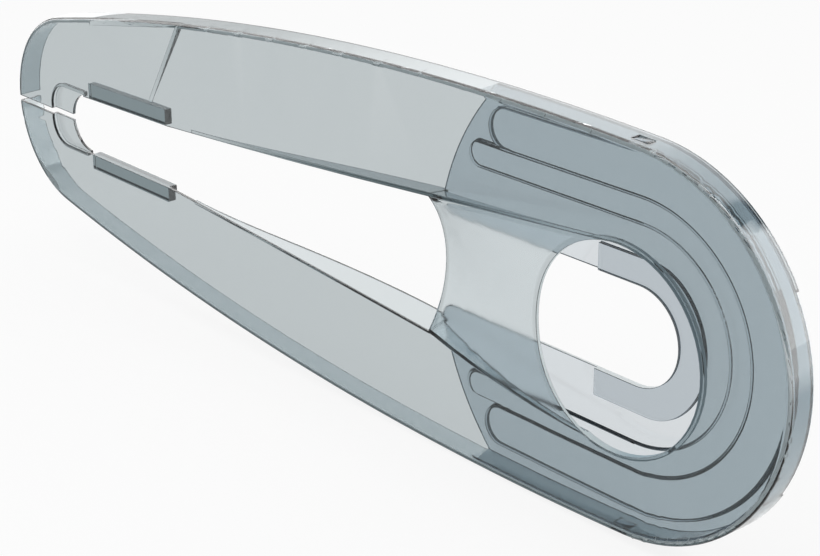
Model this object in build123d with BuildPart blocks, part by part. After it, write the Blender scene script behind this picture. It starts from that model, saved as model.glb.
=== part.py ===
from build123d import *
import math
import os

# Bicycle chain guard, open in the middle, moulded in clear smoke-tinted plastic.
# It is two mouldings: an outer shell that runs from the chainring to the rear axle,
# and a back cover that snaps into the wide front end behind the chainring.
# +X is forward, +Y points from the outer face towards the bicycle, +Z is up.
# The origin is on the crank axis, in the plane of the bicycle-side edge.

# Overall outline: a front arc, a rear arc and two long flank arcs that touch both.
GUARD_DEPTH = 16.7
FRONT_R = 97.5
FRONT_X = 2.4
REAR_R = 60.6
REAR_X = -459.6
FLANK_R = 1880.0
DRAFT = 1.6
SHOULDER_R = 2.9
WALL = 2.0
SEAT_GAP = 0.25

# Crank hole in the outer face.
HOLE_R = 52.2
HOLE_X = -2.5
HOLE_Z = -3.7
COLLAR_WALL = 1.8
COLLAR_DEPTH = 4.2

# Long gap between the arms, as the height of each edge at a few stations.
GAP_REAR_X = -443.5
GAP_REAR_TOP = 16.0
GAP_REAR_BOTTOM = -19.4
GAP_RAIL_X = -355.0
GAP_RAIL_TOP = 18.5
GAP_RAIL_BOTTOM = -19.6
GAP_MIDDLE_X = -240.0
GAP_MIDDLE_TOP = 26.9
GAP_MIDDLE_BOTTOM = -27.7
BRIDGE_REAR_X = -129.5
BRIDGE_REAR_TOP = 36.8
BRIDGE_REAR_BOTTOM = -36.2
BRIDGE_MIDDLE_X = -55.0
BRIDGE_MIDDLE_TOP = 43.6
BRIDGE_MIDDLE_BOTTOM = -50.2
BRIDGE_FRONT_X = -8.0
BRIDGE_FRONT_TOP = 48.0
BRIDGE_FRONT_BOTTOM = -53.6

# Bridge: a dished panel, shallow at the crank hole and deep at its rear edge.
BRIDGE_WALL = 2.0
BRIDGE_REAR_DISH = 12.2
BRIDGE_MIDDLE_DISH = 2.2
BRIDGE_FRONT_DISH = 0.6
BRIDGE_TAB = 1.2

# Walls along the gap, which grow from nothing at the rails to the full depth.
FLANGE_WALL = 1.8
FLANGE_START_X = -332.0
FLANGE_START_DEPTH = 2.7
FLANGE_QUARTER_X = -306.0
FLANGE_QUARTER_DEPTH = 3.6
FLANGE_HALF_X = -233.0
FLANGE_HALF_DEPTH = 10.7
FLANGE_LATE_X = -167.0
FLANGE_LATE_DEPTH = 15.8
FLANGE_TOP_LEAN = 1.5
FLANGE_BOTTOM_LEAN = 3.4

# Ribs that carry these walls on along the bridge and run out before the crank hole.
RIB_WALL = 1.6
RIB_REAR_DEPTH = 12.0
RIB_MIDDLE_X = -84.0
RIB_MIDDLE_DEPTH = 6.8
RIB_FRONT_X = -10.0
RIB_FRONT_DEPTH = 3.0

# Guide rails for the chain, moulded behind the face along the rear of the gap.
RAIL_REAR_X = -438.0
RAIL_LENGTH = 80.0
RAIL_HEIGHT = 9.4
RAIL_DEPTH = 7.6
RAIL_CHAMFER = 0.8

# Axle pocket and the split behind it.
POCKET_REAR_X = -480.5
POCKET_HALF_HEIGHT = 18.9
POCKET_CORNER_R = 14.5
POCKET_DEPTH = 3.0
POCKET_FLOOR = 1.8
POCKET_WALL = 1.6
SPLIT_WIDTH = 3.6

# Flat facet pressed into the upper arm, deepest at its front top corner.
FACET_REAR = (-430.0, 63.5)
FACET_FOOT = (-372.5, 29.5)
FACET_CORNER = (-343.0, 79.5)
FACET_DEPTH = 3.2
FACET_MARGIN = 2.0

# Snap windows in the rim.
WINDOW_X = 3.4
WINDOW_LENGTH = 10.0
WINDOW_TOP_DEPTH = 5.4
WINDOW_HEIGHT = 5.6
HOOK_GAP = 0.3
HOOK_BACKSET = 0.7

# Back cover.
COVER_WALL = 1.6
COVER_REAR_R = 137.9
COVER_RIM_DEPTH = 13.2
COVER_RIM_WALL = 1.3
CLAMP_R = 25.2
MOUTH_R = 8.0
PAD_R = 41.8
PAD_HALF_HEIGHT = 39.2
PAD_REAR_X = -26.0
PAD_THICKNESS = 3.5
PAD_BLEND_R = 30.0

# Terraces pressed into the cover round the chainring, with lobed rear ends.
INNER_TERRACE_R = 55.0
MIDDLE_TERRACE_R = 68.2
TERRACE_MARGIN = 7.5
INNER_LOBE_X = -114.0
OUTER_LOBE_X = -99.5
TERRACE_STEP = 1.2
TERRACE_WALL = 0.9

GAP_CENTRE_Z = (GAP_REAR_TOP + GAP_REAR_BOTTOM) / 2
GAP_REAR_HALF = (GAP_REAR_TOP - GAP_REAR_BOTTOM) / 2
OUTER_TERRACE_R = FRONT_R - TERRACE_MARGIN
REACH = FRONT_R + FLANK_R


def at_depth(depth):
    """Plane parallel to the outer face, this far behind it."""
    return Plane.XZ.offset(GUARD_DEPTH - depth)


def draft_at(depth):
    """How far the rim has spread outwards at this depth."""
    return depth * math.tan(math.radians(DRAFT))


def flank_centre():
    """Centre of the upper flank arc, which touches both end arcs from outside."""
    to_front = FLANK_R - FRONT_R
    to_rear = FLANK_R - REAR_R
    span = FRONT_X - REAR_X
    behind = (to_front**2 - to_rear**2 + span**2) / (2 * span)
    return FRONT_X - behind, -math.sqrt(to_front**2 - behind**2)


def touch_point(end_x, inset):
    """Point where the flank arc meets the end arc that is centred at end_x."""
    centre_x, centre_z = flank_centre()
    reach = math.hypot(end_x - centre_x, centre_z)
    share = (FLANK_R - inset) / reach
    return centre_x + (end_x - centre_x) * share, centre_z - centre_z * share


def rim_height(x, inset):
    """Height of the guard's upper edge at x, on the flank arc or the front arc."""
    if x > touch_point(FRONT_X, inset)[0]:
        return math.sqrt((FRONT_R - inset) ** 2 - (x - FRONT_X) ** 2)
    centre_x, centre_z = flank_centre()
    return centre_z + math.sqrt((FLANK_R - inset) ** 2 - (x - centre_x) ** 2)


def outline(inset):
    """The guard's whole outline, inset from its edge at the outer face."""
    centre_x, centre_z = flank_centre()
    front = touch_point(FRONT_X, inset)
    rear = touch_point(REAR_X, inset)
    crown = centre_z + FLANK_R - inset
    with BuildSketch() as shape:
        with BuildLine():
            ThreePointArc(front, (centre_x, crown), rear)
            ThreePointArc(rear, (REAR_X - REAR_R + inset, 0), (rear[0], -rear[1]))
            ThreePointArc((rear[0], -rear[1]), (centre_x, -crown), (front[0], -front[1]))
            ThreePointArc((front[0], -front[1]), (FRONT_X + FRONT_R - inset, 0), front)
        make_face()
    return shape.sketch


def rear_gap():
    """The open gap from the axle end to the rear edge of the bridge."""
    with BuildSketch() as shape:
        with BuildLine():
            ThreePointArc(
                (GAP_REAR_X, GAP_REAR_TOP),
                (GAP_REAR_X - GAP_REAR_HALF, GAP_CENTRE_Z),
                (GAP_REAR_X, GAP_REAR_BOTTOM),
            )
            Line((GAP_REAR_X, GAP_REAR_BOTTOM), (GAP_RAIL_X, GAP_RAIL_BOTTOM))
            ThreePointArc(
                (GAP_RAIL_X, GAP_RAIL_BOTTOM),
                (GAP_MIDDLE_X, GAP_MIDDLE_BOTTOM),
                (BRIDGE_REAR_X, BRIDGE_REAR_BOTTOM),
            )
            Line((BRIDGE_REAR_X, BRIDGE_REAR_BOTTOM), (BRIDGE_REAR_X, BRIDGE_REAR_TOP))
            ThreePointArc(
                (BRIDGE_REAR_X, BRIDGE_REAR_TOP),
                (GAP_MIDDLE_X, GAP_MIDDLE_TOP),
                (GAP_RAIL_X, GAP_RAIL_TOP),
            )
            Line((GAP_RAIL_X, GAP_RAIL_TOP), (GAP_REAR_X, GAP_REAR_TOP))
        make_face()
    return shape.sketch


def bridge_plan():
    """Plan of the bridge between the arms, which ends inside the crank hole."""
    with BuildSketch() as shape:
        with BuildLine():
            Spline(
                (BRIDGE_REAR_X, BRIDGE_REAR_TOP),
                (BRIDGE_MIDDLE_X, BRIDGE_MIDDLE_TOP),
                (BRIDGE_FRONT_X, BRIDGE_FRONT_TOP),
            )
            Line((BRIDGE_FRONT_X, BRIDGE_FRONT_TOP), (BRIDGE_FRONT_X, BRIDGE_FRONT_BOTTOM))
            Spline(
                (BRIDGE_FRONT_X, BRIDGE_FRONT_BOTTOM),
                (BRIDGE_MIDDLE_X, BRIDGE_MIDDLE_BOTTOM),
                (BRIDGE_REAR_X, BRIDGE_REAR_BOTTOM),
            )
            Line((BRIDGE_REAR_X, BRIDGE_REAR_BOTTOM), (BRIDGE_REAR_X, BRIDGE_REAR_TOP))
        make_face()
    return shape.sketch


def bridge_section(top, bottom, dish):
    """Section of the dished bridge across the guard, with a tab into each arm."""
    face = -GUARD_DEPTH
    back = face + BRIDGE_WALL
    middle = (top + bottom) / 2
    with BuildSketch() as shape:
        with BuildLine():
            Line((face, top + BRIDGE_TAB), (face, top))
            ThreePointArc((face, top), (face + dish, middle), (face, bottom))
            Line((face, bottom), (face, bottom - BRIDGE_TAB))
            Line((face, bottom - BRIDGE_TAB), (back, bottom - BRIDGE_TAB))
            Line((back, bottom - BRIDGE_TAB), (back, bottom))
            ThreePointArc((back, bottom), (back + dish, middle), (back, top))
            Line((back, top), (back, top + BRIDGE_TAB))
            Line((back, top + BRIDGE_TAB), (face, top + BRIDGE_TAB))
        make_face()
    return shape.sketch


def flange_strip(rail_z, middle_z, bridge_z, wall, shift):
    """Strip of wall along one edge of the gap, shifted towards the gap."""
    with BuildSketch() as shape:
        with BuildLine():
            ThreePointArc(
                (GAP_RAIL_X, rail_z + shift),
                (GAP_MIDDLE_X, middle_z + shift),
                (BRIDGE_REAR_X, bridge_z + shift),
            )
            Line((BRIDGE_REAR_X, bridge_z + shift), (BRIDGE_REAR_X, bridge_z + wall + shift))
            ThreePointArc(
                (BRIDGE_REAR_X, bridge_z + wall + shift),
                (GAP_MIDDLE_X, middle_z + wall + shift),
                (GAP_RAIL_X, rail_z + wall + shift),
            )
            Line((GAP_RAIL_X, rail_z + wall + shift), (GAP_RAIL_X, rail_z + shift))
        make_face()
    return shape.sketch


def rib_strip(rear_z, middle_z, front_z, wall, shift):
    """Strip of rib along one edge of the bridge, shifted towards its middle."""
    with BuildSketch() as shape:
        with BuildLine():
            Spline(
                (BRIDGE_REAR_X, rear_z + shift),
                (BRIDGE_MIDDLE_X, middle_z + shift),
                (BRIDGE_FRONT_X, front_z + shift),
            )
            Line((BRIDGE_FRONT_X, front_z + shift), (BRIDGE_FRONT_X, front_z + wall + shift))
            Spline(
                (BRIDGE_FRONT_X, front_z + wall + shift),
                (BRIDGE_MIDDLE_X, middle_z + wall + shift),
                (BRIDGE_REAR_X, rear_z + wall + shift),
            )
            Line((BRIDGE_REAR_X, rear_z + wall + shift), (BRIDGE_REAR_X, rear_z + shift))
        make_face()
    return shape.sketch


def horseshoe(inner, outer, lobe_x):
    """U-shaped band round the crank axis, open to the rear, with round ends."""
    middle = (inner + outer) / 2
    start_x = lobe_x + (outer - inner) / 2
    with BuildSketch() as shape:
        with BuildLine():
            ThreePointArc((0, outer), (outer, 0), (0, -outer))
            Line((0, -outer), (start_x, -outer))
            ThreePointArc((start_x, -outer), (lobe_x, -middle), (start_x, -inner))
            Line((start_x, -inner), (0, -inner))
            ThreePointArc((0, -inner), (inner, 0), (0, inner))
            Line((0, inner), (start_x, inner))
            ThreePointArc((start_x, inner), (lobe_x, middle), (start_x, outer))
            Line((start_x, outer), (0, outer))
        make_face()
    return shape.sketch


def pocket_plan(grow):
    """Rounded end of the axle pocket, grown outwards by this much."""
    half = POCKET_HALF_HEIGHT + grow
    length = GAP_REAR_X - POCKET_REAR_X + grow
    with BuildSketch() as shape:
        with Locations((POCKET_REAR_X - grow + length, GAP_CENTRE_Z)):
            RectangleRounded(2 * length, 2 * half, POCKET_CORNER_R + grow)
        with Locations((GAP_REAR_X, GAP_CENTRE_Z)):
            Rectangle(REACH, REACH, align=(Align.MIN, Align.CENTER), mode=Mode.SUBTRACT)
    return shape.sketch


# Walls along the gap: each leans into the gap, and its depth follows a soft curve.
with BuildPart() as flanges:
    with BuildSketch(at_depth(WALL)):
        add(flange_strip(GAP_RAIL_TOP, GAP_MIDDLE_TOP, BRIDGE_REAR_TOP, FLANGE_WALL, 0))
    with BuildSketch(at_depth(GUARD_DEPTH)):
        add(flange_strip(
            GAP_RAIL_TOP, GAP_MIDDLE_TOP, BRIDGE_REAR_TOP, FLANGE_WALL, -FLANGE_TOP_LEAN))
    loft(ruled=True)
    with BuildSketch(at_depth(WALL)):
        add(flange_strip(
            GAP_RAIL_BOTTOM, GAP_MIDDLE_BOTTOM, BRIDGE_REAR_BOTTOM, -FLANGE_WALL, 0))
    with BuildSketch(at_depth(GUARD_DEPTH)):
        add(flange_strip(
            GAP_RAIL_BOTTOM, GAP_MIDDLE_BOTTOM, BRIDGE_REAR_BOTTOM,
            -FLANGE_WALL, FLANGE_BOTTOM_LEAN))
    loft(ruled=True)
    with BuildSketch(Plane.XY):
        with BuildLine():
            Line((FLANGE_START_X, -GUARD_DEPTH), (BRIDGE_REAR_X, -GUARD_DEPTH))
            Line((BRIDGE_REAR_X, -GUARD_DEPTH), (BRIDGE_REAR_X, 0))
            Spline(
                (BRIDGE_REAR_X, 0),
                (FLANGE_LATE_X, FLANGE_LATE_DEPTH - GUARD_DEPTH),
                (FLANGE_HALF_X, FLANGE_HALF_DEPTH - GUARD_DEPTH),
                (FLANGE_QUARTER_X, FLANGE_QUARTER_DEPTH - GUARD_DEPTH),
                (FLANGE_START_X, FLANGE_START_DEPTH - GUARD_DEPTH),
            )
            Line(
                (FLANGE_START_X, FLANGE_START_DEPTH - GUARD_DEPTH),
                (FLANGE_START_X, -GUARD_DEPTH),
            )
        make_face()
    extrude(amount=FRONT_R, both=True, mode=Mode.INTERSECT)

# Ribs along the bridge: they lean as the walls do, and their depth runs out forwards.
with BuildPart() as ribs:
    with BuildSketch(at_depth(WALL / 2)):
        add(rib_strip(BRIDGE_REAR_TOP, BRIDGE_MIDDLE_TOP, BRIDGE_FRONT_TOP, RIB_WALL, 0))
    with BuildSketch(at_depth(GUARD_DEPTH)):
        add(rib_strip(
            BRIDGE_REAR_TOP, BRIDGE_MIDDLE_TOP, BRIDGE_FRONT_TOP, RIB_WALL, -FLANGE_TOP_LEAN))
    loft(ruled=True)
    with BuildSketch(at_depth(WALL / 2)):
        add(rib_strip(
            BRIDGE_REAR_BOTTOM, BRIDGE_MIDDLE_BOTTOM, BRIDGE_FRONT_BOTTOM, -RIB_WALL, 0))
    with BuildSketch(at_depth(GUARD_DEPTH)):
        add(rib_strip(
            BRIDGE_REAR_BOTTOM, BRIDGE_MIDDLE_BOTTOM, BRIDGE_FRONT_BOTTOM,
            -RIB_WALL, FLANGE_BOTTOM_LEAN))
    loft(ruled=True)
    with BuildSketch(Plane.XY):
        with BuildLine():
            Line((RIB_FRONT_X, -GUARD_DEPTH), (BRIDGE_REAR_X, -GUARD_DEPTH))
            Line((BRIDGE_REAR_X, -GUARD_DEPTH), (BRIDGE_REAR_X, RIB_REAR_DEPTH - GUARD_DEPTH))
            Spline(
                (BRIDGE_REAR_X, RIB_REAR_DEPTH - GUARD_DEPTH),
                (RIB_MIDDLE_X, RIB_MIDDLE_DEPTH - GUARD_DEPTH),
                (RIB_FRONT_X, RIB_FRONT_DEPTH - GUARD_DEPTH),
            )
            Line((RIB_FRONT_X, RIB_FRONT_DEPTH - GUARD_DEPTH), (RIB_FRONT_X, -GUARD_DEPTH))
        make_face()
    extrude(amount=FRONT_R, both=True, mode=Mode.INTERSECT)

# Bridge panel: three sections across the guard, blended into one dished skin.
with BuildPart() as bridge:
    with BuildSketch(Plane.YZ.offset(BRIDGE_REAR_X)):
        add(bridge_section(BRIDGE_REAR_TOP, BRIDGE_REAR_BOTTOM, BRIDGE_REAR_DISH))
    with BuildSketch(Plane.YZ.offset(BRIDGE_MIDDLE_X)):
        add(bridge_section(BRIDGE_MIDDLE_TOP, BRIDGE_MIDDLE_BOTTOM, BRIDGE_MIDDLE_DISH))
    with BuildSketch(Plane.YZ.offset(BRIDGE_FRONT_X)):
        add(bridge_section(BRIDGE_FRONT_TOP, BRIDGE_FRONT_BOTTOM, BRIDGE_FRONT_DISH))
    loft()

# Facet wedge: zero depth along its rear line, full depth at its front top corner.
facet_run = math.hypot(FACET_FOOT[0] - FACET_REAR[0], FACET_FOOT[1] - FACET_REAR[1])
facet_along = (
    (FACET_FOOT[0] - FACET_REAR[0]) / facet_run,
    (FACET_FOOT[1] - FACET_REAR[1]) / facet_run,
)
facet_reach = (
    (FACET_CORNER[0] - FACET_REAR[0]) * -facet_along[1]
    + (FACET_CORNER[1] - FACET_REAR[1]) * facet_along[0]
)
facet_plane = Plane(
    origin=(FACET_REAR[0], -GUARD_DEPTH, FACET_REAR[1]),
    x_dir=(-facet_along[1], 0, facet_along[0]),
    z_dir=(facet_along[0], 0, facet_along[1]),
)


def facet_block(corners, front, corner_front, back, corner_back, grow):
    """Wedge under the facet, given by its depths at the rear line and at the corner."""
    with BuildPart() as block:
        with BuildSketch(facet_plane):
            with BuildLine():
                Polyline(
                    (-grow, -front),
                    (facet_reach + grow, -corner_front),
                    (facet_reach + grow, -corner_back),
                    (-grow, -back),
                    close=True,
                )
            make_face()
        extrude(amount=2 * facet_run, both=True)
        with BuildSketch(at_depth(-WALL)):
            with BuildLine():
                Polyline(*corners, close=True)
            make_face()
            offset(amount=grow, kind=Kind.INTERSECTION)
        extrude(amount=-GUARD_DEPTH, mode=Mode.INTERSECT)
    return block.part


# Guide rails: two tapered bars that follow the edges of the gap.
with BuildPart() as rails:
    slope_top = (GAP_RAIL_TOP - GAP_REAR_TOP) / (GAP_RAIL_X - GAP_REAR_X)
    slope_bottom = (GAP_RAIL_BOTTOM - GAP_REAR_BOTTOM) / (GAP_RAIL_X - GAP_REAR_X)
    rail_start = RAIL_REAR_X - GAP_REAR_X
    rail_end = rail_start + RAIL_LENGTH
    with BuildSketch(at_depth(WALL / 2)):
        with BuildLine():
            Polyline(
                (RAIL_REAR_X, GAP_REAR_TOP + slope_top * rail_start),
                (RAIL_REAR_X + RAIL_LENGTH, GAP_REAR_TOP + slope_top * rail_end),
                (RAIL_REAR_X + RAIL_LENGTH, GAP_REAR_TOP + slope_top * rail_end + RAIL_HEIGHT),
                (RAIL_REAR_X, GAP_REAR_TOP + slope_top * rail_start + RAIL_HEIGHT),
                close=True,
            )
        make_face()
        with BuildLine():
            Polyline(
                (RAIL_REAR_X, GAP_REAR_BOTTOM + slope_bottom * rail_start),
                (RAIL_REAR_X + RAIL_LENGTH, GAP_REAR_BOTTOM + slope_bottom * rail_end),
                (RAIL_REAR_X + RAIL_LENGTH, GAP_REAR_BOTTOM + slope_bottom * rail_end - RAIL_HEIGHT),
                (RAIL_REAR_X, GAP_REAR_BOTTOM + slope_bottom * rail_start - RAIL_HEIGHT),
                close=True,
            )
        make_face()
    extrude(amount=-(RAIL_DEPTH - WALL / 2))
    chamfer(rails.faces().filter_by(Axis.Y).group_by(Axis.Y)[-1].edges(), RAIL_CHAMFER)

# Hollow of the tray, rounded in front so that the wall stays even round the shoulder.
with BuildPart() as hollow:
    with BuildSketch(at_depth(WALL)):
        add(outline(WALL - draft_at(WALL)))
    with BuildSketch(at_depth(GUARD_DEPTH)):
        add(outline(WALL - draft_at(GUARD_DEPTH)))
    loft(ruled=True)
    fillet(hollow.faces().sort_by(Axis.Y)[0].edges(), SHOULDER_R - WALL)

# Backing of the facet, which runs on upwards and ends inside the rim.
facet_corners = [FACET_REAR, FACET_FOOT, FACET_CORNER]
rim_corners = [(x, z + 2 * FACET_MARGIN) for x, z in (FACET_CORNER, FACET_REAR)]
with BuildPart() as backing:
    add(facet_block(
        facet_corners + rim_corners, WALL / 2, WALL / 2, WALL, WALL + FACET_DEPTH, FACET_MARGIN))
    with BuildSketch(at_depth(0)):
        add(outline(WALL / 2))
    extrude(amount=-GUARD_DEPTH, mode=Mode.INTERSECT)

# Outer shell: a drafted tray, open towards the bicycle, with its shoulder rounded.
with BuildPart() as shell:
    with BuildSketch(at_depth(0)):
        add(outline(0))
    with BuildSketch(at_depth(GUARD_DEPTH)):
        add(outline(-draft_at(GUARD_DEPTH)))
    loft(ruled=True)
    fillet(shell.faces().sort_by(Axis.Y)[0].edges(), SHOULDER_R)
    add(hollow.part, mode=Mode.SUBTRACT)

    # Collar round the crank hole, and the raised block that the axle pocket is cut into.
    with BuildSketch(at_depth(WALL / 2)):
        with Locations((HOLE_X, HOLE_Z)):
            Circle(HOLE_R + COLLAR_WALL)
        add(pocket_plan(POCKET_WALL))
    extrude(amount=-(COLLAR_DEPTH - WALL / 2))
    with BuildSketch(at_depth(WALL / 2)):
        add(pocket_plan(POCKET_WALL))
    extrude(amount=-(POCKET_DEPTH + POCKET_FLOOR - WALL / 2))
    add(backing.part)

    # Everything between the arms is cut away, then the parts that stand there are added.
    with BuildSketch(at_depth(-WALL)):
        add(rear_gap())
        add(bridge_plan())
    extrude(amount=-GUARD_DEPTH, mode=Mode.SUBTRACT)
    with BuildSketch(at_depth(-WALL)):
        add(pocket_plan(0))
    extrude(amount=-(POCKET_DEPTH + WALL), mode=Mode.SUBTRACT)
    add(facet_block(facet_corners, -WALL, -WALL, 0, FACET_DEPTH, 0), mode=Mode.SUBTRACT)
    add(bridge.part)
    add(flanges.part)
    add(ribs.part)
    add(rails.part)

    # Crank hole, the split behind the axle pocket, and the snap windows in the rim.
    with BuildSketch(at_depth(-WALL)):
        with Locations((HOLE_X, HOLE_Z)):
            Circle(HOLE_R)
        with Locations((GAP_REAR_X, GAP_CENTRE_Z)):
            Rectangle(REACH, SPLIT_WIDTH, align=(Align.MAX, Align.CENTER))
    extrude(amount=-2 * GUARD_DEPTH, mode=Mode.SUBTRACT)
    with BuildSketch(at_depth(WINDOW_TOP_DEPTH)):
        with Locations((WINDOW_X, 0)):
            Rectangle(WINDOW_LENGTH, REACH)
            Rectangle(WINDOW_LENGTH, 2 * rim_height(WINDOW_X, 2 * WALL), mode=Mode.SUBTRACT)
    extrude(amount=-WINDOW_HEIGHT, mode=Mode.SUBTRACT)

    # The ends of the gap walls stand clear of the back cover's rear edge.
    with BuildSketch(at_depth(GUARD_DEPTH - COVER_WALL - SEAT_GAP)):
        Circle(COVER_REAR_R + SEAT_GAP)
        Rectangle(2 * COVER_REAR_R, FRONT_R, mode=Mode.INTERSECT)
    extrude(amount=-GUARD_DEPTH, mode=Mode.SUBTRACT)
shell.part.label = "outer_shell"

# Back cover: a thin plate with a nested rim, cut off behind by an arc about the crank.
with BuildPart() as cover:
    rim_top = GUARD_DEPTH - COVER_RIM_DEPTH
    seat = WALL + SEAT_GAP
    with BuildSketch(at_depth(rim_top)):
        add(outline(seat - draft_at(rim_top)))
    with BuildSketch(at_depth(GUARD_DEPTH)):
        add(outline(seat - draft_at(GUARD_DEPTH)))
    loft(ruled=True)
    with BuildSketch(at_depth(rim_top)):
        add(outline(seat + COVER_RIM_WALL - draft_at(rim_top)))
    with BuildSketch(at_depth(GUARD_DEPTH - COVER_WALL)):
        add(outline(seat + COVER_RIM_WALL - draft_at(GUARD_DEPTH - COVER_WALL)))
    loft(ruled=True, mode=Mode.SUBTRACT)

    # Terraces: each is raised inside and hollow behind, so the wall stays even.
    plate_front = GUARD_DEPTH - COVER_WALL
    with BuildSketch(at_depth(plate_front)):
        add(horseshoe(INNER_TERRACE_R, MIDDLE_TERRACE_R, INNER_LOBE_X))
    extrude(amount=TERRACE_STEP)
    with BuildSketch(at_depth(plate_front)):
        add(horseshoe(MIDDLE_TERRACE_R, OUTER_TERRACE_R, OUTER_LOBE_X))
    extrude(amount=2 * TERRACE_STEP)
    with BuildSketch(at_depth(GUARD_DEPTH)):
        add(horseshoe(
            INNER_TERRACE_R + TERRACE_WALL,
            MIDDLE_TERRACE_R + TERRACE_WALL,
            INNER_LOBE_X + TERRACE_WALL))
    extrude(amount=TERRACE_STEP, mode=Mode.SUBTRACT)
    with BuildSketch(at_depth(GUARD_DEPTH)):
        add(horseshoe(
            MIDDLE_TERRACE_R + TERRACE_WALL,
            OUTER_TERRACE_R - TERRACE_WALL,
            OUTER_LOBE_X + TERRACE_WALL))
    extrude(amount=2 * TERRACE_STEP, mode=Mode.SUBTRACT)

    # Thick pad round the bottom bracket, flush with the plate's bicycle side.
    with BuildSketch(at_depth(GUARD_DEPTH)) as pad:
        Circle(PAD_R)
        with Locations((PAD_REAR_X, 0)):
            Rectangle(REACH, 2 * PAD_HALF_HEIGHT, align=(Align.MIN, Align.CENTER), mode=Mode.INTERSECT)
        with Locations((PAD_REAR_X, 0)):
            Rectangle(-PAD_REAR_X, 2 * PAD_HALF_HEIGHT, align=(Align.MIN, Align.CENTER))
        corners = [v for v in pad.vertices() if 0 < v.X < PAD_R - 1]
        fillet(corners, PAD_BLEND_R)
    extrude(amount=PAD_THICKNESS)

    # Rear arc, and the slot that lets the cover slide onto the bottom bracket.
    with BuildSketch(at_depth(-WALL)):
        Circle(COVER_REAR_R)
    extrude(amount=-2 * GUARD_DEPTH, mode=Mode.INTERSECT)
    with BuildSketch(at_depth(-WALL)):
        Circle(CLAMP_R)
        Rectangle(REACH, 2 * CLAMP_R, align=(Align.MAX, Align.CENTER))
    extrude(amount=-2 * GUARD_DEPTH, mode=Mode.SUBTRACT)
    mouth = cover.edges().filter_by(Axis.Y).filter_by(lambda edge: edge.center().X < INNER_LOBE_X)
    fillet(mouth.filter_by(lambda edge: abs(edge.center().Z) < MIDDLE_TERRACE_R / 2), MOUTH_R)

    # Snap hooks: a ramp on the leading side, and a catch that bears on the window's edge.
    hook_x = WINDOW_X - WINDOW_LENGTH / 2 + HOOK_GAP
    root = rim_height(WINDOW_X + WINDOW_LENGTH / 2, seat + COVER_RIM_WALL / 2)
    crest = rim_height(WINDOW_X + WINDOW_LENGTH / 2, HOOK_BACKSET)
    catch = WINDOW_TOP_DEPTH + WINDOW_HEIGHT - HOOK_GAP - GUARD_DEPTH
    lead = WINDOW_TOP_DEPTH + HOOK_GAP - GUARD_DEPTH
    for side in (1, -1):
        with BuildSketch(Plane.YZ.offset(hook_x)):
            with BuildLine():
                Polyline(
                    (lead, side * root),
                    (lead, side * (root + seat)),
                    (catch, side * crest),
                    (catch, side * root),
                    close=True,
                )
            make_face()
        extrude(amount=WINDOW_LENGTH - 2 * HOOK_GAP)
cover.part.label = "back_cover"

os.makedirs("parts", exist_ok=True)
export_step(shell.part, "parts/outer_shell.step")
export_step(cover.part, "parts/back_cover.step")
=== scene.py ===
# %% [markdown]
# A bicycle chain guard, moulded in clear smoke-tinted plastic. It is a long shallow tray with a
# round front end, a crank hole and an open middle. A thin back cover snaps into the front end
# behind the chainring. The imported model gives both mouldings at their true size, so the work
# here is the plastic itself: how light passes through two clear walls, where the surface is
# frosted, and the rounded edges of the mouldings.

# %% Load the imported model
import math
import bmesh
import bpy
from mathutils import Matrix, Vector
from mathutils.bvhtree import BVHTree


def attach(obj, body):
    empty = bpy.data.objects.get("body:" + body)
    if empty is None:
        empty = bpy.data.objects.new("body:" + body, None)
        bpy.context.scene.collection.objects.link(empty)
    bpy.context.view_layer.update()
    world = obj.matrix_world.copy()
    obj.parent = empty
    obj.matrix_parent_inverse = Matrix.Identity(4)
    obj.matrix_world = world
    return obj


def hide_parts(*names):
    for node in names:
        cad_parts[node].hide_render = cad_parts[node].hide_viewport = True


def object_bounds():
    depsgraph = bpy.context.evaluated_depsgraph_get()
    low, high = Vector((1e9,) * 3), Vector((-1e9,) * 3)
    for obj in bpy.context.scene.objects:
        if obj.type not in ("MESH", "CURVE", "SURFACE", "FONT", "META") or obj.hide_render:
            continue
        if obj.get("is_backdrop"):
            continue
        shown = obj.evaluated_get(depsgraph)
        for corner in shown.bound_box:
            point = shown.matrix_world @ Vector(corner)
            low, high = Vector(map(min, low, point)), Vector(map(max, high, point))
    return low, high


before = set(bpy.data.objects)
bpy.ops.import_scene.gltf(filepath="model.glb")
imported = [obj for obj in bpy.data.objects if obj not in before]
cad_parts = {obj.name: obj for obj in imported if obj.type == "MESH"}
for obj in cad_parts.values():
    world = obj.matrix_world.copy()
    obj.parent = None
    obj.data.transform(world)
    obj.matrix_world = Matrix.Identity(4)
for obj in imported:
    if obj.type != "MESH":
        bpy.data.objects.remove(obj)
cad_low, cad_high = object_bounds()
MM = 0.001
print("nodes:", sorted(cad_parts), "box in mm:", [round(v / MM, 1) for v in cad_high - cad_low])

# %% [markdown]
# The camera stands in front of the chainring end, a little above it, and looks along the
# guard, so the narrow rear end recedes to the upper left. A camera's own X, Y and Z axes
# are the columns of its rotation, which is the surest way to give it an exact direction.

# %% Camera
CAMERA_PLACE = Vector((0.56210, -0.64055, 0.37727))
CAMERA_RIGHT = Vector((0.66329, 0.74836, -0.00245))
CAMERA_BACK = Vector((0.69242, -0.61246, 0.38138))
LENS = 87.62

camera_data = bpy.data.cameras.new("camera")
camera_data.lens = LENS
camera_data.sensor_width = 36.0
camera_data.clip_start = 0.01
camera_data.clip_end = 50.0
camera = bpy.data.objects.new("camera", camera_data)
bpy.context.scene.collection.objects.link(camera)
camera_up = CAMERA_BACK.cross(CAMERA_RIGHT)
turn = Matrix((CAMERA_RIGHT, camera_up, CAMERA_BACK)).transposed()
camera.matrix_world = Matrix.Translation(CAMERA_PLACE) @ turn.to_4x4()
bpy.context.scene.camera = camera
print("camera is", round((CAMERA_PLACE.length) / MM), "mm from the crank axis")

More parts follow.
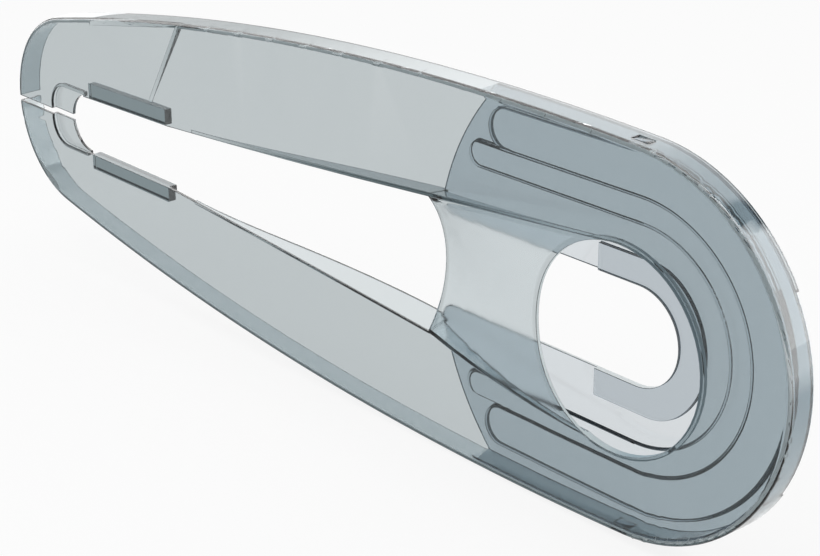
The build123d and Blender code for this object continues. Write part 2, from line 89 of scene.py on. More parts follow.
# %% [markdown]
# Clear plastic has hardly any colour of its own: it shows what stands behind it. The
# floor and the world are therefore white for the camera and for rays that pass through
# the plastic or bounce off it. Lamps stay soft and plain, so the floor keeps the faint
# shadow that the guard casts.

# %% Node helpers
MIX_SOCKETS = {"FLOAT": (2, 3, 0), "RGBA": (6, 7, 2)}


def new_material(name):
    """A node material with only its output left in it."""
    material = bpy.data.materials.new(name)
    material.use_nodes = True
    material.node_tree.nodes.clear()
    output = material.node_tree.nodes.new("ShaderNodeOutputMaterial")
    return material, material.node_tree.nodes, material.node_tree.links, output


def feed(links, slot, value):
    """Gives an input a socket or a plain value."""
    if isinstance(value, bpy.types.NodeSocket):
        links.new(value, slot)
    else:
        slot.default_value = value


def maths(nodes, links, kind, *values):
    """A Math node whose inputs are sockets or plain numbers."""
    node = nodes.new("ShaderNodeMath")
    node.operation = kind
    for slot, value in zip(node.inputs, values):
        feed(links, slot, value)
    return node.outputs[0]


def mix(nodes, links, kind, share, first, second):
    """A Mix node between two numbers or two colours, each a socket or a plain value."""
    node = nodes.new("ShaderNodeMix")
    node.data_type = kind
    first_slot, second_slot, result = MIX_SOCKETS[kind]
    links.new(share, node.inputs[0])
    feed(links, node.inputs[first_slot], first)
    feed(links, node.inputs[second_slot], second)
    return node.outputs[result]


def ease(nodes, links, value, low, high, start=0.0, end=1.0):
    """A smooth step between two values of a socket."""
    node = nodes.new("ShaderNodeMapRange")
    node.interpolation_type = "SMOOTHSTEP"
    node.inputs["From Min"].default_value = low
    node.inputs["From Max"].default_value = high
    node.inputs["To Min"].default_value = start
    node.inputs["To Max"].default_value = end
    links.new(value, node.inputs["Value"])
    return node.outputs["Result"]


def scale_stops(ramp, stops):
    """Sets a ramp's stops from pairs of a place and a colour."""
    elements = ramp.color_ramp.elements
    while len(elements) < len(stops):
        elements.new(0.5)
    for element, (place, colour) in zip(elements, stops):
        element.position = place
        element.color = (*colour, 1)


# %% [markdown]
# Each clear wall that a ray crosses adds two to its transmission depth, once on the way
# in and once on the way out. The background is white behind one wall and darker behind
# each further one, because a ray that wanders through many walls would be lost for good
# in real plastic, and here it would come out too bright.

# %% Rays and layers
FIRST_WALL = 2.0
LAYER_SPAN = 8.0
LAYER_SHADES = (
    (0.0, (1.0, 1.0, 1.0)),
    (0.25, (0.81, 0.87, 0.905)),
    (0.5, (0.62, 0.73, 0.79)),
    (1.0, (0.30, 0.42, 0.50)),
)


def layer_shade(nodes, links, light_path):
    """White behind one clear wall, and darker behind each further one."""
    depth = light_path.outputs["Transmission Depth"]
    further = maths(nodes, links, "SUBTRACT", depth, FIRST_WALL)
    share = maths(nodes, links, "MULTIPLY", further, 1 / LAYER_SPAN)
    ramp = nodes.new("ShaderNodeValToRGB")
    scale_stops(ramp, LAYER_SHADES)
    links.new(share, ramp.inputs["Fac"])
    return ramp.outputs["Color"]


def seen_share(nodes, links, light_path):
    """1 for a ray from the camera or through the plastic or off a gloss, otherwise 0."""
    seen = maths(
        nodes, links, "MAXIMUM",
        light_path.outputs["Is Camera Ray"], light_path.outputs["Is Transmission Ray"])
    return maths(nodes, links, "MAXIMUM", seen, light_path.outputs["Is Glossy Ray"])


def mirror_share(nodes, links, light_path):
    """1 for a ray that a surface mirrors, and 0 for one that has passed through it."""
    clear = light_path.outputs["Is Transmission Ray"]
    passed = maths(nodes, links, "SUBTRACT", 1.0, clear)
    return maths(nodes, links, "MULTIPLY", light_path.outputs["Is Glossy Ray"], passed)


print("shades behind further walls:", len(LAYER_SHADES))

# %% [markdown]
# The guard stands on a plain pale floor. A clear wall mirrors the floor as well, so the
# floor that it mirrors is dim in front, where the outer face should stay clear, and
# brighter behind and to the right, where the rim catches the light.

# %% Floor
FLOOR_DROP = 0.0005
FLOOR_SIZE = 12.0
FLOOR_GREY = (0.82, 0.82, 0.82, 1)
FLOOR_WHITE = 0.86
FLOOR_GLOSS_FRONT = 0.3
FLOOR_GLOSS_BACK = 1.6
FLOOR_GLOSS_RIGHT = 5.0
FLOOR_BEHIND = (-0.03, 0.08)
FLOOR_RIGHT = (0.1, 0.6)

bpy.ops.object.select_all(action="DESELECT")
bpy.ops.mesh.primitive_plane_add(size=FLOOR_SIZE, location=(0, 0, cad_low.z - FLOOR_DROP))
floor = bpy.context.object
floor.name = "floor"
floor_paint, nodes, links, output = new_material("pale_floor")
light_path = nodes.new("ShaderNodeLightPath")
matt = nodes.new("ShaderNodeBsdfDiffuse")
matt.inputs["Color"].default_value = FLOOR_GREY
place = nodes.new("ShaderNodeTexCoord")
split = nodes.new("ShaderNodeSeparateXYZ")
links.new(place.outputs["Object"], split.inputs[0])
behind = ease(
    nodes, links, split.outputs["Y"], *FLOOR_BEHIND, FLOOR_GLOSS_FRONT, FLOOR_GLOSS_BACK)
right = ease(nodes, links, split.outputs["X"], *FLOOR_RIGHT, 0.0, FLOOR_GLOSS_RIGHT)
gloss = maths(nodes, links, "SUBTRACT", maths(nodes, links, "MAXIMUM", behind, right), 1.0)
gloss = maths(nodes, links, "MULTIPLY_ADD", gloss, mirror_share(nodes, links, light_path), 1.0)
glow = nodes.new("ShaderNodeEmission")
links.new(layer_shade(nodes, links, light_path), glow.inputs["Color"])
links.new(gloss, glow.inputs["Strength"])
blend = nodes.new("ShaderNodeMixShader")
share = maths(nodes, links, "MULTIPLY", seen_share(nodes, links, light_path), FLOOR_WHITE)
links.new(share, blend.inputs[0])
links.new(matt.outputs[0], blend.inputs[1])
links.new(glow.outputs[0], blend.inputs[2])
links.new(blend.outputs[0], output.inputs["Surface"])
floor.data.materials.append(floor_paint)
floor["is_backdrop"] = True
print("floor is", FLOOR_SIZE, "m wide and", FLOOR_DROP / MM, "mm below the guard")

# %% [markdown]
# The gloss on clear plastic is as telling as its tint. The studio that it mirrors is
# bright behind and above the guard and dim on the camera's side, and a dark gap between
# two soft boxes stands at the right, which draws the dark patch on the upper right rim.
# One plain lamp above adds the faint shadow.

# %% World and lamp
STUDIO_LIGHT = 0.75
STUDIO_DIM = 0.3
STUDIO_BEHIND = (-0.4, 0.2)
SIDE_BOX = 6.0
SIDE_LOW = (0.10, 0.42)
SIDE_LOW_LOSS = 0.75
SIDE_LEFT = (0.90, 1.0)
LAMP_PLACE = (-0.2, -0.3, 1.6)
LAMP_TARGET = (-0.2, 0.0, 0.0)
LAMP_SIZE = 1.4
LAMP_POWER = 9
WHITE = (1, 1, 1, 1)
BOX_SHARES = ((0.0, 1.0), (0.72, 1.0), (0.78, 0.02), (0.88, 0.02), (0.96, 0.40), (1.0, 0.40))

world = bpy.data.worlds.new("studio")
bpy.context.scene.world = world
world.use_nodes = True
nodes, links = world.node_tree.nodes, world.node_tree.links
nodes.clear()
output = nodes.new("ShaderNodeOutputWorld")
light_path = nodes.new("ShaderNodeLightPath")
place = nodes.new("ShaderNodeTexCoord")
split = nodes.new("ShaderNodeSeparateXYZ")
links.new(place.outputs["Generated"], split.inputs[0])
behind = ease(nodes, links, split.outputs["Y"], *STUDIO_BEHIND)
azimuth = maths(nodes, links, "ARCTAN2", split.outputs["Y"], split.outputs["X"])
quarter = maths(nodes, links, "DIVIDE", azimuth, math.radians(90))
boxes = nodes.new("ShaderNodeValToRGB")
scale_stops(boxes, [(stop, (share, share, share)) for stop, share in BOX_SHARES])
links.new(quarter, boxes.inputs["Fac"])
low = ease(nodes, links, split.outputs["Z"], *SIDE_LOW, SIDE_LOW_LOSS, 0.0)
left = ease(nodes, links, quarter, *SIDE_LEFT)
faded = maths(nodes, links, "SUBTRACT", 1.0, maths(nodes, links, "MULTIPLY", low, left))
mirrored = maths(nodes, links, "MULTIPLY", boxes.outputs["Color"], SIDE_BOX)
mirrored = maths(nodes, links, "MULTIPLY", mirrored, faded)
bright = mix(nodes, links, "FLOAT", mirror_share(nodes, links, light_path), 1.0, mirrored)
lit = mix(nodes, links, "FLOAT", behind, STUDIO_DIM, bright)
strength = maths(nodes, links, "MAXIMUM", lit, light_path.outputs["Is Camera Ray"])
soft = nodes.new("ShaderNodeBackground")
soft.inputs["Color"].default_value = WHITE
soft.inputs["Strength"].default_value = STUDIO_LIGHT
white = nodes.new("ShaderNodeBackground")
links.new(layer_shade(nodes, links, light_path), white.inputs["Color"])
links.new(strength, white.inputs["Strength"])
blend = nodes.new("ShaderNodeMixShader")
links.new(seen_share(nodes, links, light_path), blend.inputs[0])
links.new(soft.outputs[0], blend.inputs[1])
links.new(white.outputs[0], blend.inputs[2])
links.new(blend.outputs[0], output.inputs["Surface"])


def soft_lamp(name, place, target, size, power):
    """A large square lamp that points at the target."""
    data = bpy.data.lights.new(name, "AREA")
    data.shape = "SQUARE"
    data.size = size
    data.energy = power
    lamp = bpy.data.objects.new(name, data)
    bpy.context.scene.collection.objects.link(lamp)
    lamp.location = place
    lamp.rotation_euler = (Vector(place) - Vector(target)).to_track_quat("Z", "Y").to_euler()
    return lamp


lamp = soft_lamp("top_softbox", LAMP_PLACE, LAMP_TARGET, LAMP_SIZE, LAMP_POWER)
bpy.context.scene.view_settings.view_transform = "Standard"
print(lamp.name, "hangs", round(lamp.location.z / MM), "mm above the crank axis")

# %% [markdown]
# The plastic is a clear polycarbonate with a light smoke tint. A Principled shader with
# full transmission bends the light, and a Volume Absorption shader takes some of each
# colour for every millimetre that it passes, so a thick place is darker than a thin one.
# On the shell a part of the tint sits in the surface colour instead: light that runs a long way
# inside a wall would otherwise turn black, and two walls are still darker than one. The rounded
# edges get a darker colour, a painted shade for the fine line that each round draws as a lens,
# from a group that both share.

# %% Clear smoke plastic
PLASTIC_IOR = 1.58
SHELL_TINT = (110.0, 95.0, 91.0)
COVER_TINT = (170.0, 146.0, 130.0)
SHELL_WALL = (0.72, 0.755, 0.765, 1)
# The frosted bridge's paler wall colour is a painted light for the light that frosting scatters
BRIDGE_PAINTED_LIGHT = (0.87, 0.91, 0.925, 1)
COVER_WALL = (1.0, 1.0, 1.0, 1)
# Painted shade on the marked rounds of the edges, for the fine dark line that each draws as a lens
SHELL_EDGE_SHADE = (0.45, 0.49, 0.51, 1)
COVER_EDGE_SHADE = (0.04, 0.065, 0.085, 1)
POLISHED = 0.02
DENSITY_MARGIN = 0.98


def edge_group():
    """A shared node group that puts a painted shade, the edge colour, on the rounded edges of a
    moulding.
    """
    group = bpy.data.node_groups.new("painted_edge_shade", "ShaderNodeTree")
    group.interface.new_socket("Wall Color", in_out="INPUT", socket_type="NodeSocketColor")
    group.interface.new_socket("Edge Color", in_out="INPUT", socket_type="NodeSocketColor")
    group.interface.new_socket("Color", in_out="OUTPUT", socket_type="NodeSocketColor")
    into = group.nodes.new("NodeGroupInput")
    out = group.nodes.new("NodeGroupOutput")
    mark = group.nodes.new("ShaderNodeAttribute")
    mark.attribute_name = "edge"
    colour = mix(
        group.nodes, group.links, "RGBA", mark.outputs["Fac"],
        into.outputs["Wall Color"], into.outputs["Edge Color"])
    group.links.new(colour, out.inputs["Color"])
    return group


def absorbing(nodes, links, output, per_metre):
    """Adds the plain volume that gives the plastic its tint."""
    volume = nodes.new("ShaderNodeVolumeAbsorption")
    density = max(per_metre) / DENSITY_MARGIN
    volume.inputs["Density"].default_value = density
    volume.inputs["Color"].default_value = [1 - v / density for v in per_metre] + [1]
    links.new(volume.outputs[0], output.inputs["Volume"])


def clear_plastic(name, tint, wall_colour, edge_colour):
    """Transparent tinted plastic with a shader whose sockets are plain values."""
    material, nodes, links, output = new_material(name)
    plastic = nodes.new("ShaderNodeBsdfPrincipled")
    plastic.inputs["Transmission Weight"].default_value = 1.0
    plastic.inputs["IOR"].default_value = PLASTIC_IOR
    plastic.inputs["Roughness"].default_value = POLISHED
    edges = nodes.new("ShaderNodeGroup")
    edges.node_tree = painted_edge_shade
    edges.inputs["Wall Color"].default_value = wall_colour
    edges.inputs["Edge Color"].default_value = edge_colour
    links.new(edges.outputs["Color"], plastic.inputs["Base Color"])
    links.new(plastic.outputs[0], output.inputs["Surface"])
    absorbing(nodes, links, output, tint)
    return material, nodes, links, plastic, edges


painted_edge_shade = edge_group()
cover_plastic = clear_plastic("smoke_clear_cover", COVER_TINT, COVER_WALL, COVER_EDGE_SHADE)[0]
shell_plastic, nodes, links, plastic, edges = clear_plastic(
    "smoke_clear_shell", SHELL_TINT, SHELL_WALL, SHELL_EDGE_SHADE)
print("clear plastics:", cover_plastic.name, shell_plastic.name, "with", painted_edge_shade.name)

# %% [markdown]
# A wall that is seen edge on looks solid: total reflection sends the light along it, and the eye
# sees a dark or a pale line. To trace that takes many bounces and leaves black and white specks.
# The walls that draw such lines are therefore given plain dull materials that paint the line: a
# painted shade for the steps of the terraces, a painted light for the slot, a grey with a painted
# shade that darkens towards the front for the crank hole's wall, and a painted highlight for the
# shoulder's inside. All but the steps also glow a little, a painted light for the light that the
# wall carries out at its edge.

# %% Solid walls, with painted shade and painted light
STEP_SHADE_COLOUR = (0.012, 0.022, 0.03, 1)
PAINTED_LIGHT_COLOUR = (0.62, 0.66, 0.67, 1)
SHOULDER_HIGHLIGHT_COLOUR = (0.70, 0.75, 0.77, 1)
CUT_PAINTED_SHADES = ((0.0, (0.50, 0.55, 0.56)), (0.45, (0.40, 0.46, 0.48)), (0.6, (0.26, 0.34, 0.38)))
CUT_WIDTH = 0.11
STEP_GLOW, LIGHT_GLOW, SHINE_GLOW, CUT_GLOW = 0.0, 0.08, 0.2, 0.35
WALL_DULL = 0.45
WALL_SPECULAR = 0.15


def painted_wall(name, colour, glow):
    """A plain dull material that lets no light through, for a wall seen edge on: its colour is a
    painted shade or painted light, and it glows by the given amount.
    """
    material, wall_nodes, wall_links, output = new_material(name)
    wall = wall_nodes.new("ShaderNodeBsdfPrincipled")
    wall.inputs["Base Color"].default_value = colour
    wall.inputs["Roughness"].default_value = WALL_DULL
    wall.inputs["Specular IOR Level"].default_value = WALL_SPECULAR
    wall.inputs["Emission Color"].default_value = colour
    wall.inputs["Emission Strength"].default_value = glow
    wall_links.new(wall.outputs[0], output.inputs["Surface"])
    return material, wall_nodes, wall_links, wall


# Painted shade: the terrace steps, the cover's rear arc and one facet of the shell are dark, with
# no glow
step_paint = painted_wall("smoke_step_painted_shade", STEP_SHADE_COLOUR, STEP_GLOW)[0]
# Painted light: the slot's walls are pale and glow a little
light_paint = painted_wall("smoke_painted_light_wall", PAINTED_LIGHT_COLOUR, LIGHT_GLOW)[0]
# Painted highlight: the inside of the shoulder's round is bright and glows
shine_paint = painted_wall("smoke_shoulder_painted_highlight", SHOULDER_HIGHLIGHT_COLOUR, SHINE_GLOW)[0]
# The crank hole's wall: a painted shade that darkens towards the front across X, and a painted
# glow
cut_paint, wall_nodes, wall_links, wall = painted_wall("smoke_hole_wall_painted_shade_and_glow", STEP_SHADE_COLOUR, CUT_GLOW)
place = wall_nodes.new("ShaderNodeTexCoord")
split = wall_nodes.new("ShaderNodeSeparateXYZ")
shades = wall_nodes.new("ShaderNodeValToRGB")
scale_stops(shades, CUT_PAINTED_SHADES)
wall_links.new(place.outputs["Object"], split.inputs[0])
across = maths(wall_nodes, wall_links, "MULTIPLY_ADD", split.outputs["X"], 1 / CUT_WIDTH, 0.5)
wall_links.new(across, shades.inputs["Fac"])
wall_links.new(shades.outputs["Color"], wall.inputs["Base Color"])
wall_links.new(shades.outputs["Color"], wall.inputs["Emission Color"])
print("solid walls:", *(paint.name for paint in (step_paint, light_paint, shine_paint, cut_paint)))

# %% [markdown]
# The dished bridge between the arms is frosted, so what stands behind it is blurred. The frosting
# stops short of the crank hole, where a polished ring is left, and short of the bridge's lower
# edge, where a polished strip runs along it. Where it is frosted the wall colour is also paler, a
# painted light for the front light that frosting scatters.

# %% Frosted bridge
BRIDGE_REAR = -0.1275
BRIDGE_FRONT = -0.012
BRIDGE_TOP = (0.0350, 0.0462)
BRIDGE_BOTTOM = (-0.0388, -0.0562)
RING_R = 0.0545
RING_X, RING_Z = -0.0025, -0.0037
FROST_BLUR = 0.0012
FROSTED = 0.17

place = nodes.new("ShaderNodeTexCoord")
split = nodes.new("ShaderNodeSeparateXYZ")
links.new(place.outputs["Object"], split.inputs[0])
x, y, z = split.outputs
along = maths(
    nodes, links, "DIVIDE", maths(nodes, links, "SUBTRACT", x, BRIDGE_REAR),
    BRIDGE_FRONT - BRIDGE_REAR)
limits = []
for rear, front, sign in ((*BRIDGE_TOP, 1), (*BRIDGE_BOTTOM, -1)):
    edge = maths(nodes, links, "MULTIPLY_ADD", along, front - rear, rear)
    inside = maths(nodes, links, "MULTIPLY", maths(nodes, links, "SUBTRACT", edge, z), sign)
    limits.append(inside)
limits.append(maths(nodes, links, "SUBTRACT", x, BRIDGE_REAR))
limits.append(maths(nodes, links, "SUBTRACT", BRIDGE_FRONT, x))
ring_x = maths(nodes, links, "POWER", maths(nodes, links, "SUBTRACT", x, RING_X), 2.0)
ring_z = maths(nodes, links, "POWER", maths(nodes, links, "SUBTRACT", z, RING_Z), 2.0)
ring = maths(nodes, links, "SQRT", maths(nodes, links, "ADD", ring_x, ring_z))
limits.append(maths(nodes, links, "SUBTRACT", ring, RING_R))
nearest = limits[0]
for limit in limits[1:]:
    nearest = maths(nodes, links, "MINIMUM", nearest, limit)
frost = ease(nodes, links, nearest, 0.0, FROST_BLUR)
dull = maths(nodes, links, "MULTIPLY_ADD", frost, FROSTED - POLISHED, POLISHED)
links.new(dull, plastic.inputs["Roughness"])
# Painted light: the frosted part gets the paler bridge colour
tone = mix(nodes, links, "RGBA", frost, SHELL_WALL, BRIDGE_PAINTED_LIGHT)
print("frosted from x", BRIDGE_REAR / MM, "to", BRIDGE_FRONT / MM, "mm, but for the ring")

# %% [markdown]
# The two guide rails are solid bars, the thickest plastic of the guard, and look darker than the
# face that they stand on. A box round them sets a darker wall colour there, a painted shade for
# the light that total reflection turns away inside the bars.

# %% Guide rails
RAIL_PAINTED_SHADE = (0.50, 0.57, 0.59, 1)
RAIL_REAR, RAIL_FRONT = -0.4385, -0.3575
RAIL_BACK, RAIL_REACH = -0.0146, 0.0305
within = maths(nodes, links, "SUBTRACT", RAIL_REACH, maths(nodes, links, "ABSOLUTE", z))
for limit in (
        maths(nodes, links, "SUBTRACT", x, RAIL_REAR),
        maths(nodes, links, "SUBTRACT", RAIL_FRONT, x),
        maths(nodes, links, "SUBTRACT", y, RAIL_BACK)):
    within = maths(nodes, links, "MINIMUM", within, limit)
in_rail = maths(nodes, links, "GREATER_THAN", within, 0.0)
# Painted shade: a darker wall colour inside the rails' box
links.new(mix(nodes, links, "RGBA", in_rail, tone, RAIL_PAINTED_SHADE), edges.inputs["Wall Color"])
print("rails are", round((RAIL_FRONT - RAIL_REAR) / MM), "mm long")

# %% [markdown]
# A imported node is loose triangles, and its long flanks are cut into facets that are
# thirty millimetres long. Paint would hide that, but clear plastic bends every ray by
# its surface, so the facets would show as saw teeth. The guard's outline is known: a
# front arc, a rear arc, and a flank arc that touches both. Every skin of the rim follows
# it, so the rim is cut finer and each new point is moved to the skin that it belongs to.

# %% The outline's arcs and the skins of the rim, in millimetres
GUARD_DEPTH = 16.7
FRONT_R, FRONT_X = 97.5, 2.4
REAR_R, REAR_X = 60.6, -459.6
FLANK_R = 1880.0
DRAFT_SLOPE = math.tan(math.radians(1.6))
SHOULDER_R = 2.9
WALL = 2.0
COVER_SEAT = 2.25
COVER_RIM_WALL = 1.3
SHOULDER_INSET = SHOULDER_R * (math.hypot(1, DRAFT_SLOPE) - DRAFT_SLOPE)
ROUNDS = (SHOULDER_R, SHOULDER_R - WALL)
WALLS = (0.0, WALL, COVER_SEAT, COVER_SEAT + COVER_RIM_WALL)

arc_span = FRONT_X - REAR_X
arc_behind = ((FLANK_R - FRONT_R) ** 2 - (FLANK_R - REAR_R) ** 2 + arc_span**2) / (2 * arc_span)
FLANK_X = FRONT_X - arc_behind
FLANK_Z = -math.sqrt((FLANK_R - FRONT_R) ** 2 - arc_behind**2)
print("flank arc centre:", round(FLANK_X, 1), round(FLANK_Z, 1))


def outline_arc(x, z):
    """Centre and radius of the outline's arc that is nearest to a point of the rim."""
    def past(end_x):
        return (x - FLANK_X) * -FLANK_Z - (abs(z) - FLANK_Z) * (end_x - FLANK_X)

    if past(FRONT_X) > 0:
        return FRONT_X, 0.0, FRONT_R
    if past(REAR_X) < 0:
        return REAR_X, 0.0, REAR_R
    return FLANK_X, math.copysign(FLANK_Z, -z), FLANK_R


def rim_place(point):
    """Depth behind the outer face, and distance inside the outline."""
    x, y, z = point.co / MM
    centre_x, centre_z, radius = outline_arc(x, z)
    return GUARD_DEPTH + y, radius - math.hypot(x - centre_x, z - centre_z)


def on_skin(skin, depth, inset):
    """The place on a skin of the rim that is nearest to a depth and an inset."""
    if skin > len(ROUNDS):
        return depth, WALLS[skin - len(ROUNDS) - 1] - depth * DRAFT_SLOPE
    side, rise = SHOULDER_INSET - inset, SHOULDER_R - depth
    share = ROUNDS[skin - 1] / math.hypot(side, rise)
    return SHOULDER_R - rise * share, SHOULDER_INSET - side * share


# %% Cutting the rim finer
CUT_STEP = 4
SHOULDER_STEP = 0.6
ON_SKIN = 0.03
FLAT = 0.999
SHOULDER_CUTS = (0.12, 0.35, 0.75, 1.2, 1.65, 2.1, 2.5)


def find_skin(face):
    """Number of the rim skin that all of a face's points lie on, or 0."""
    places = [rim_place(point) for point in face.verts]
    if abs(face.normal.y) > FLAT:
        return 0
    rounded = max(depth for depth, inset in places) < SHOULDER_R + ON_SKIN
    for skin in (1, 2) if rounded else range(3, 3 + len(WALLS)):
        gaps = (math.dist(place, on_skin(skin, *place)) for place in places)
        if max(gaps) < ON_SKIN:
            return skin
    return 0


def slice_rim(mesh, skin_layer, axis, places, long_enough):
    """Cuts the rim's long faces across one axis at each of these places."""
    normal = [0.0, 0.0, 0.0]
    normal[axis] = 1.0
    made = set()
    for place in places:
        crossed = []
        for face in mesh.faces:
            if face[skin_layer]:
                ends = [point.co[axis] / MM for point in face.verts]
                if min(ends) < place < max(ends) and max(ends) - min(ends) > long_enough:
                    crossed.append(face)
        if crossed:
            around = {part for face in crossed for part in (*face.edges, *face.verts)}
            cut = bmesh.ops.bisect_plane(
                mesh, geom=crossed + list(around), dist=1e-7,
                plane_co=[n * place * MM for n in normal], plane_no=normal)
            made |= {part for part in cut["geom_cut"] if isinstance(part, bmesh.types.BMVert)}
    return made


def refine_rim(mesh):
    """Cuts the rim finer and moves every new point to its skin."""
    skin_layer = mesh.faces.layers.int.new("skin")
    for face in mesh.faces:
        face[skin_layer] = find_skin(face)
    made = slice_rim(mesh, skin_layer, 0, range(-520, 101, CUT_STEP), CUT_STEP + 1)
    made |= slice_rim(mesh, skin_layer, 2, range(-100, 101, CUT_STEP), CUT_STEP + 1)
    shoulder = [depth - GUARD_DEPTH for depth in SHOULDER_CUTS]
    made |= slice_rim(mesh, skin_layer, 1, shoulder, SHOULDER_STEP)
    for point in made:
        skins = sorted({face[skin_layer] for face in point.link_faces} - {0})
        if skins:
            depth, inset = on_skin(skins[0], *rim_place(point))
            x, y, z = point.co / MM
            centre_x, centre_z, radius = outline_arc(x, z)
            share = (radius - inset) / math.hypot(x - centre_x, z - centre_z)
            x, z = centre_x + (x - centre_x) * share, centre_z + (z - centre_z) * share
            point.co = Vector((x, depth - GUARD_DEPTH, z)) * MM
    mesh.faces.layers.int.remove(skin_layer)
    return len(made)


print("the rim is cut every", CUT_STEP, "mm")

# %% [markdown]
# Each wall that is seen edge on, and so gets a painted shade or painted light, is found by its
# place, in millimetres: by its distance from the crank axis, its depth behind the outer face and
# its inset from the outline. Faces that lie flat to the viewer stay clear.

# %% Which walls get painted shade or painted light
CLEAR, DARK, LIGHT, TEAL, SHINE = range(5)
FACES_FRONT = 0.3
FACES_UP = 0.5
PLACE_SLACK = 0.3
STEP_DEPTHS = (12.6, 16.9)
STEP_INSET = 6.0
STEP_R = 45.0
BOLD_STEP_R = 60.0
THIN_STEP_DEPTH = 15.3
PALE_STEP_INSET = 12.0
COVER_REAR_R = 137.9
COVER_REAR_SLACK = 0.4
SLOT_HALF_HEIGHT = 25.2
HOLE_WALL_R = 52.6
COLLAR_R = 54.7
FACET_FOOT = Vector((-372.5, 29.5))
FACET_CORNER = Vector((-343.0, 79.5))
FACET_ASIDE = (1.8, 2.6)
FACET_HEIGHTS = (28.0, 82.0)
SHOULDER_INSIDE = 2


def cover_paint(face):
    """Number of the material that a face of the cover has: clear, painted shade or painted light.
    """
    places = [rim_place(point) for point in face.verts]
    depths, insets = zip(*places)
    if abs(face.normal.y) > FACES_FRONT or min(insets) < STEP_INSET:
        return CLEAR
    reach = [point.co.xz.length / MM for point in face.verts]
    heights = [abs(point.co.z) / MM for point in face.verts]
    slot_limit = SLOT_HALF_HEIGHT + PLACE_SLACK
    behind = face.calc_center_median().x < 0 and max(heights) < slot_limit
    if max(reach) < slot_limit or behind:
        return LIGHT
    if max(abs(r - COVER_REAR_R) for r in reach) < COVER_REAR_SLACK:
        return DARK
    low, high = STEP_DEPTHS
    is_step = min(reach) > STEP_R and low < min(depths) and max(depths) < high
    is_thin = max(reach) < BOLD_STEP_R and max(depths) > THIN_STEP_DEPTH
    is_top = face.calc_center_median().z > 0 and abs(face.normal.z) > FACES_UP
    is_pale = is_top and max(insets) < PALE_STEP_INSET
    return DARK if is_step and not is_thin and not is_pale else CLEAR


def shell_paint(face):
    """Number of the material that a face of the shell has: clear, painted shade, painted
    highlight, or the hole wall's painted shade.
    """
    if find_skin(face) == SHOULDER_INSIDE:
        return SHINE
    if abs(face.normal.y) > FACES_FRONT:
        return CLEAR
    run = (FACET_CORNER - FACET_FOOT).normalized()
    aside = [(point.co.xz / MM - FACET_FOOT).cross(run) for point in face.verts]
    heights = [point.co.z / MM for point in face.verts]
    limits = ((aside, FACET_ASIDE), (heights, FACET_HEIGHTS))
    if all(low < min(values) and max(values) < high for values, (low, high) in limits):
        return DARK
    hub = Vector((RING_X, RING_Z))
    reach = [(point.co.xz - hub).length / MM for point in face.verts]
    limit = COLLAR_R if face.calc_center_median().x > 0 else HOLE_WALL_R
    return TEAL if max(reach) < limit else CLEAR


print("solid walls are sought on", ", ".join(sorted(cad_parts)))

# %% [markdown]
# Real moulded edges are never quite sharp, and in clear plastic that shows more than on anything
# else: a rounded edge is a tiny lens, and draws a fine dark line. Each sharp edge therefore gets a
# small round, and its faces are marked, so that a painted shade can make the plastic dark just
# there and draw that line. The solid walls of the steps get a wider round in their own painted
# shade.
# A bevel can throw a point far off where thin faces meet, so each point that ends up
# away from the old surface is put back on it.

# %% Rounded edges
EDGE_ROUND = 0.00025
STEP_ROUND = 0.00055
STRAY_GAP = 0.0004
SHARP_ANGLE = math.radians(38)
DARK_EDGE_DEPTH = 11.0


def round_edges(mesh, paint_number, wall_round, dark_depth):
    """Gives every sharp edge a small round, and marks its faces for the painted edge shade."""
    edge_layer = mesh.faces.layers.float.new("edge")
    for face in mesh.faces:
        face.material_index = paint_number(face)
    count = 0
    surface = BVHTree.FromBMesh(mesh)
    for size, paint in ((wall_round, DARK), (EDGE_ROUND, CLEAR)):
        sharp = [e for e in mesh.edges if e.is_manifold and e.calc_face_angle(0) > SHARP_ANGLE]
        if paint == DARK:
            sharp = [e for e in sharp if any(f.material_index == DARK for f in e.link_faces)]
        if size and sharp:
            rounds = bmesh.ops.bevel(
                mesh, geom=sharp, offset=size, offset_type="OFFSET", segments=2, profile=0.5,
                affect="EDGES", clamp_overlap=False, loop_slide=False, material=paint)
            for face in rounds["faces"]:
                depth = GUARD_DEPTH + face.calc_center_median().y / MM
                face[edge_layer] = 1.0 if depth > dark_depth else 0.0
            count += len(sharp)
        mesh.normal_update()
    for point in mesh.verts:
        place, _, _, gap = surface.find_nearest(point.co)
        if gap > STRAY_GAP:
            point.co = place
    mesh.normal_update()
    return count


print("rounds are", EDGE_ROUND / MM, "mm, and", STEP_ROUND / MM, "mm on the cover's steps")

# %% [markdown]
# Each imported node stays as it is, and a copy stands for it. The copy's loose triangles
# are merged, its rim is refined, its edges are rounded, and it is shaded smooth. A
# Weighted Normal modifier keeps the large faces flat in spite of the rounds beside them.

# %% Outer shell and back cover
MERGE_DISTANCE = 0.000002
SMOOTH_ANGLE = math.radians(50)
FLAT_WEIGHT = 80


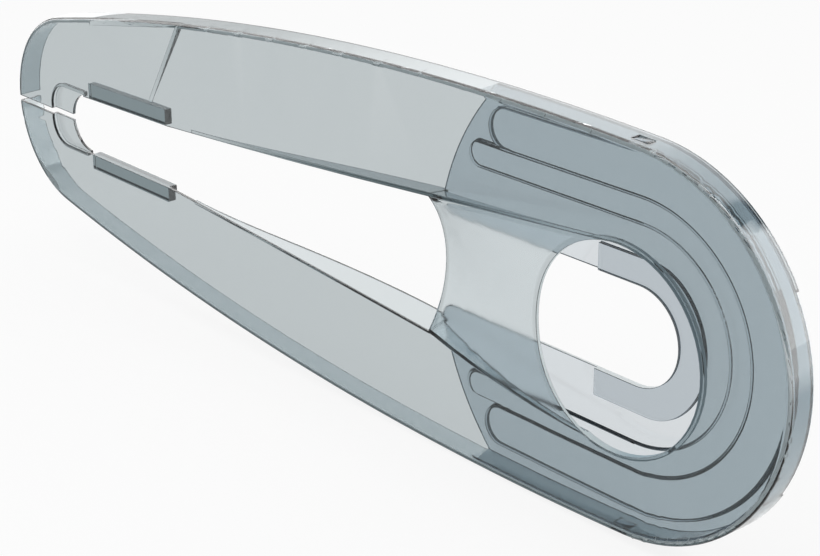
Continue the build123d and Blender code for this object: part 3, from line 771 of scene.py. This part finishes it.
def finished_copy(node, name, clear, paint_number, wall_round, dark_depth):
    """A merged, refined and smooth-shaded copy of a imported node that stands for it."""
    bpy.ops.object.select_all(action="DESELECT")
    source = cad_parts[node]
    piece = bpy.data.objects.new(name, source.data.copy())
    bpy.context.scene.collection.objects.link(piece)
    piece.data.name = name
    piece.data.materials.clear()
    for material in (clear, step_paint, light_paint, cut_paint, shine_paint):
        piece.data.materials.append(material)
    piece.select_set(True)
    bpy.context.view_layer.objects.active = piece
    bpy.ops.object.mode_set(mode="EDIT")
    bpy.ops.mesh.select_all(action="SELECT")
    bpy.ops.mesh.customdata_custom_splitnormals_clear()
    bpy.ops.object.mode_set(mode="OBJECT")
    mesh = bmesh.new()
    mesh.from_mesh(piece.data)
    bmesh.ops.remove_doubles(mesh, verts=mesh.verts, dist=MERGE_DISTANCE)
    moved = refine_rim(mesh)
    mesh.normal_update()
    rounded = round_edges(mesh, paint_number, wall_round, dark_depth)
    open_edges = sum(1 for e in mesh.edges if not e.is_manifold)
    mesh.to_mesh(piece.data)
    mesh.free()
    bpy.ops.object.shade_smooth_by_angle(angle=SMOOTH_ANGLE)
    weigh = piece.modifiers.new("weigh", "WEIGHTED_NORMAL")
    weigh.keep_sharp = True
    weigh.weight = FLAT_WEIGHT
    bpy.ops.object.modifier_apply(modifier=weigh.name)
    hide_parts(node)
    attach(piece, "root")
    print(name, "faces:", len(piece.data.polygons), "moved:", moved, "rounded:", rounded,
          "open edges:", open_edges)


finished_copy("outer_shell", "shell_moulding", shell_plastic, shell_paint, 0.0, 0.0)
finished_copy(
    "back_cover", "cover_moulding", cover_plastic, cover_paint, STEP_ROUND, DARK_EDGE_DEPTH)

# %% [markdown]
# Two tabs of the cover snap into windows in the rim. They fill the windows and lie flush
# with the rim, so that only a fine line is left round each.

# %% Snap tabs
TAB_LENGTH = 9.3
TAB_X = 3.4
TAB_TOP_DEPTH = 5.75
TAB_HEIGHT = 4.9
TAB_INSETS = (-0.2, 1.9)
TAB_ROUND = 0.0002


def snap_tab(name, side):
    """A tab that fills the window on one side of the rim."""
    bpy.ops.object.select_all(action="DESELECT")
    height = TAB_INSETS[1] - TAB_INSETS[0]
    middle = FRONT_R - sum(TAB_INSETS) / 2
    place = (TAB_X, TAB_TOP_DEPTH + TAB_HEIGHT / 2 - GUARD_DEPTH, side * middle)
    bpy.ops.mesh.primitive_cube_add(size=1)
    tab = bpy.context.object
    tab.name = name
    tab.data.name = name
    size = Matrix.Diagonal((TAB_LENGTH * MM, TAB_HEIGHT * MM, height * MM, 1))
    tab.data.transform(Matrix.Translation(Vector(place) * MM) @ size)
    bpy.ops.object.mode_set(mode="EDIT")
    bpy.ops.mesh.select_all(action="SELECT")
    bpy.ops.mesh.bevel(offset=TAB_ROUND, segments=2)
    bpy.ops.object.mode_set(mode="OBJECT")
    bpy.ops.object.shade_smooth_by_angle(angle=SMOOTH_ANGLE)
    tab.data.materials.append(cover_plastic)
    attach(tab, "root")


for side, name in ((1, "snap_tab_top"), (-1, "snap_tab_bottom")):
    snap_tab(name, side)
print("snap tabs are", TAB_LENGTH, "mm long and", TAB_HEIGHT, "mm high")

# %% [markdown]
# The box of the finished model is printed, like the imported box at the start.

# %% Sizes and finish
low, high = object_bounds()
print("visual box in mm:", [round(v / MM, 1) for v in high - low])
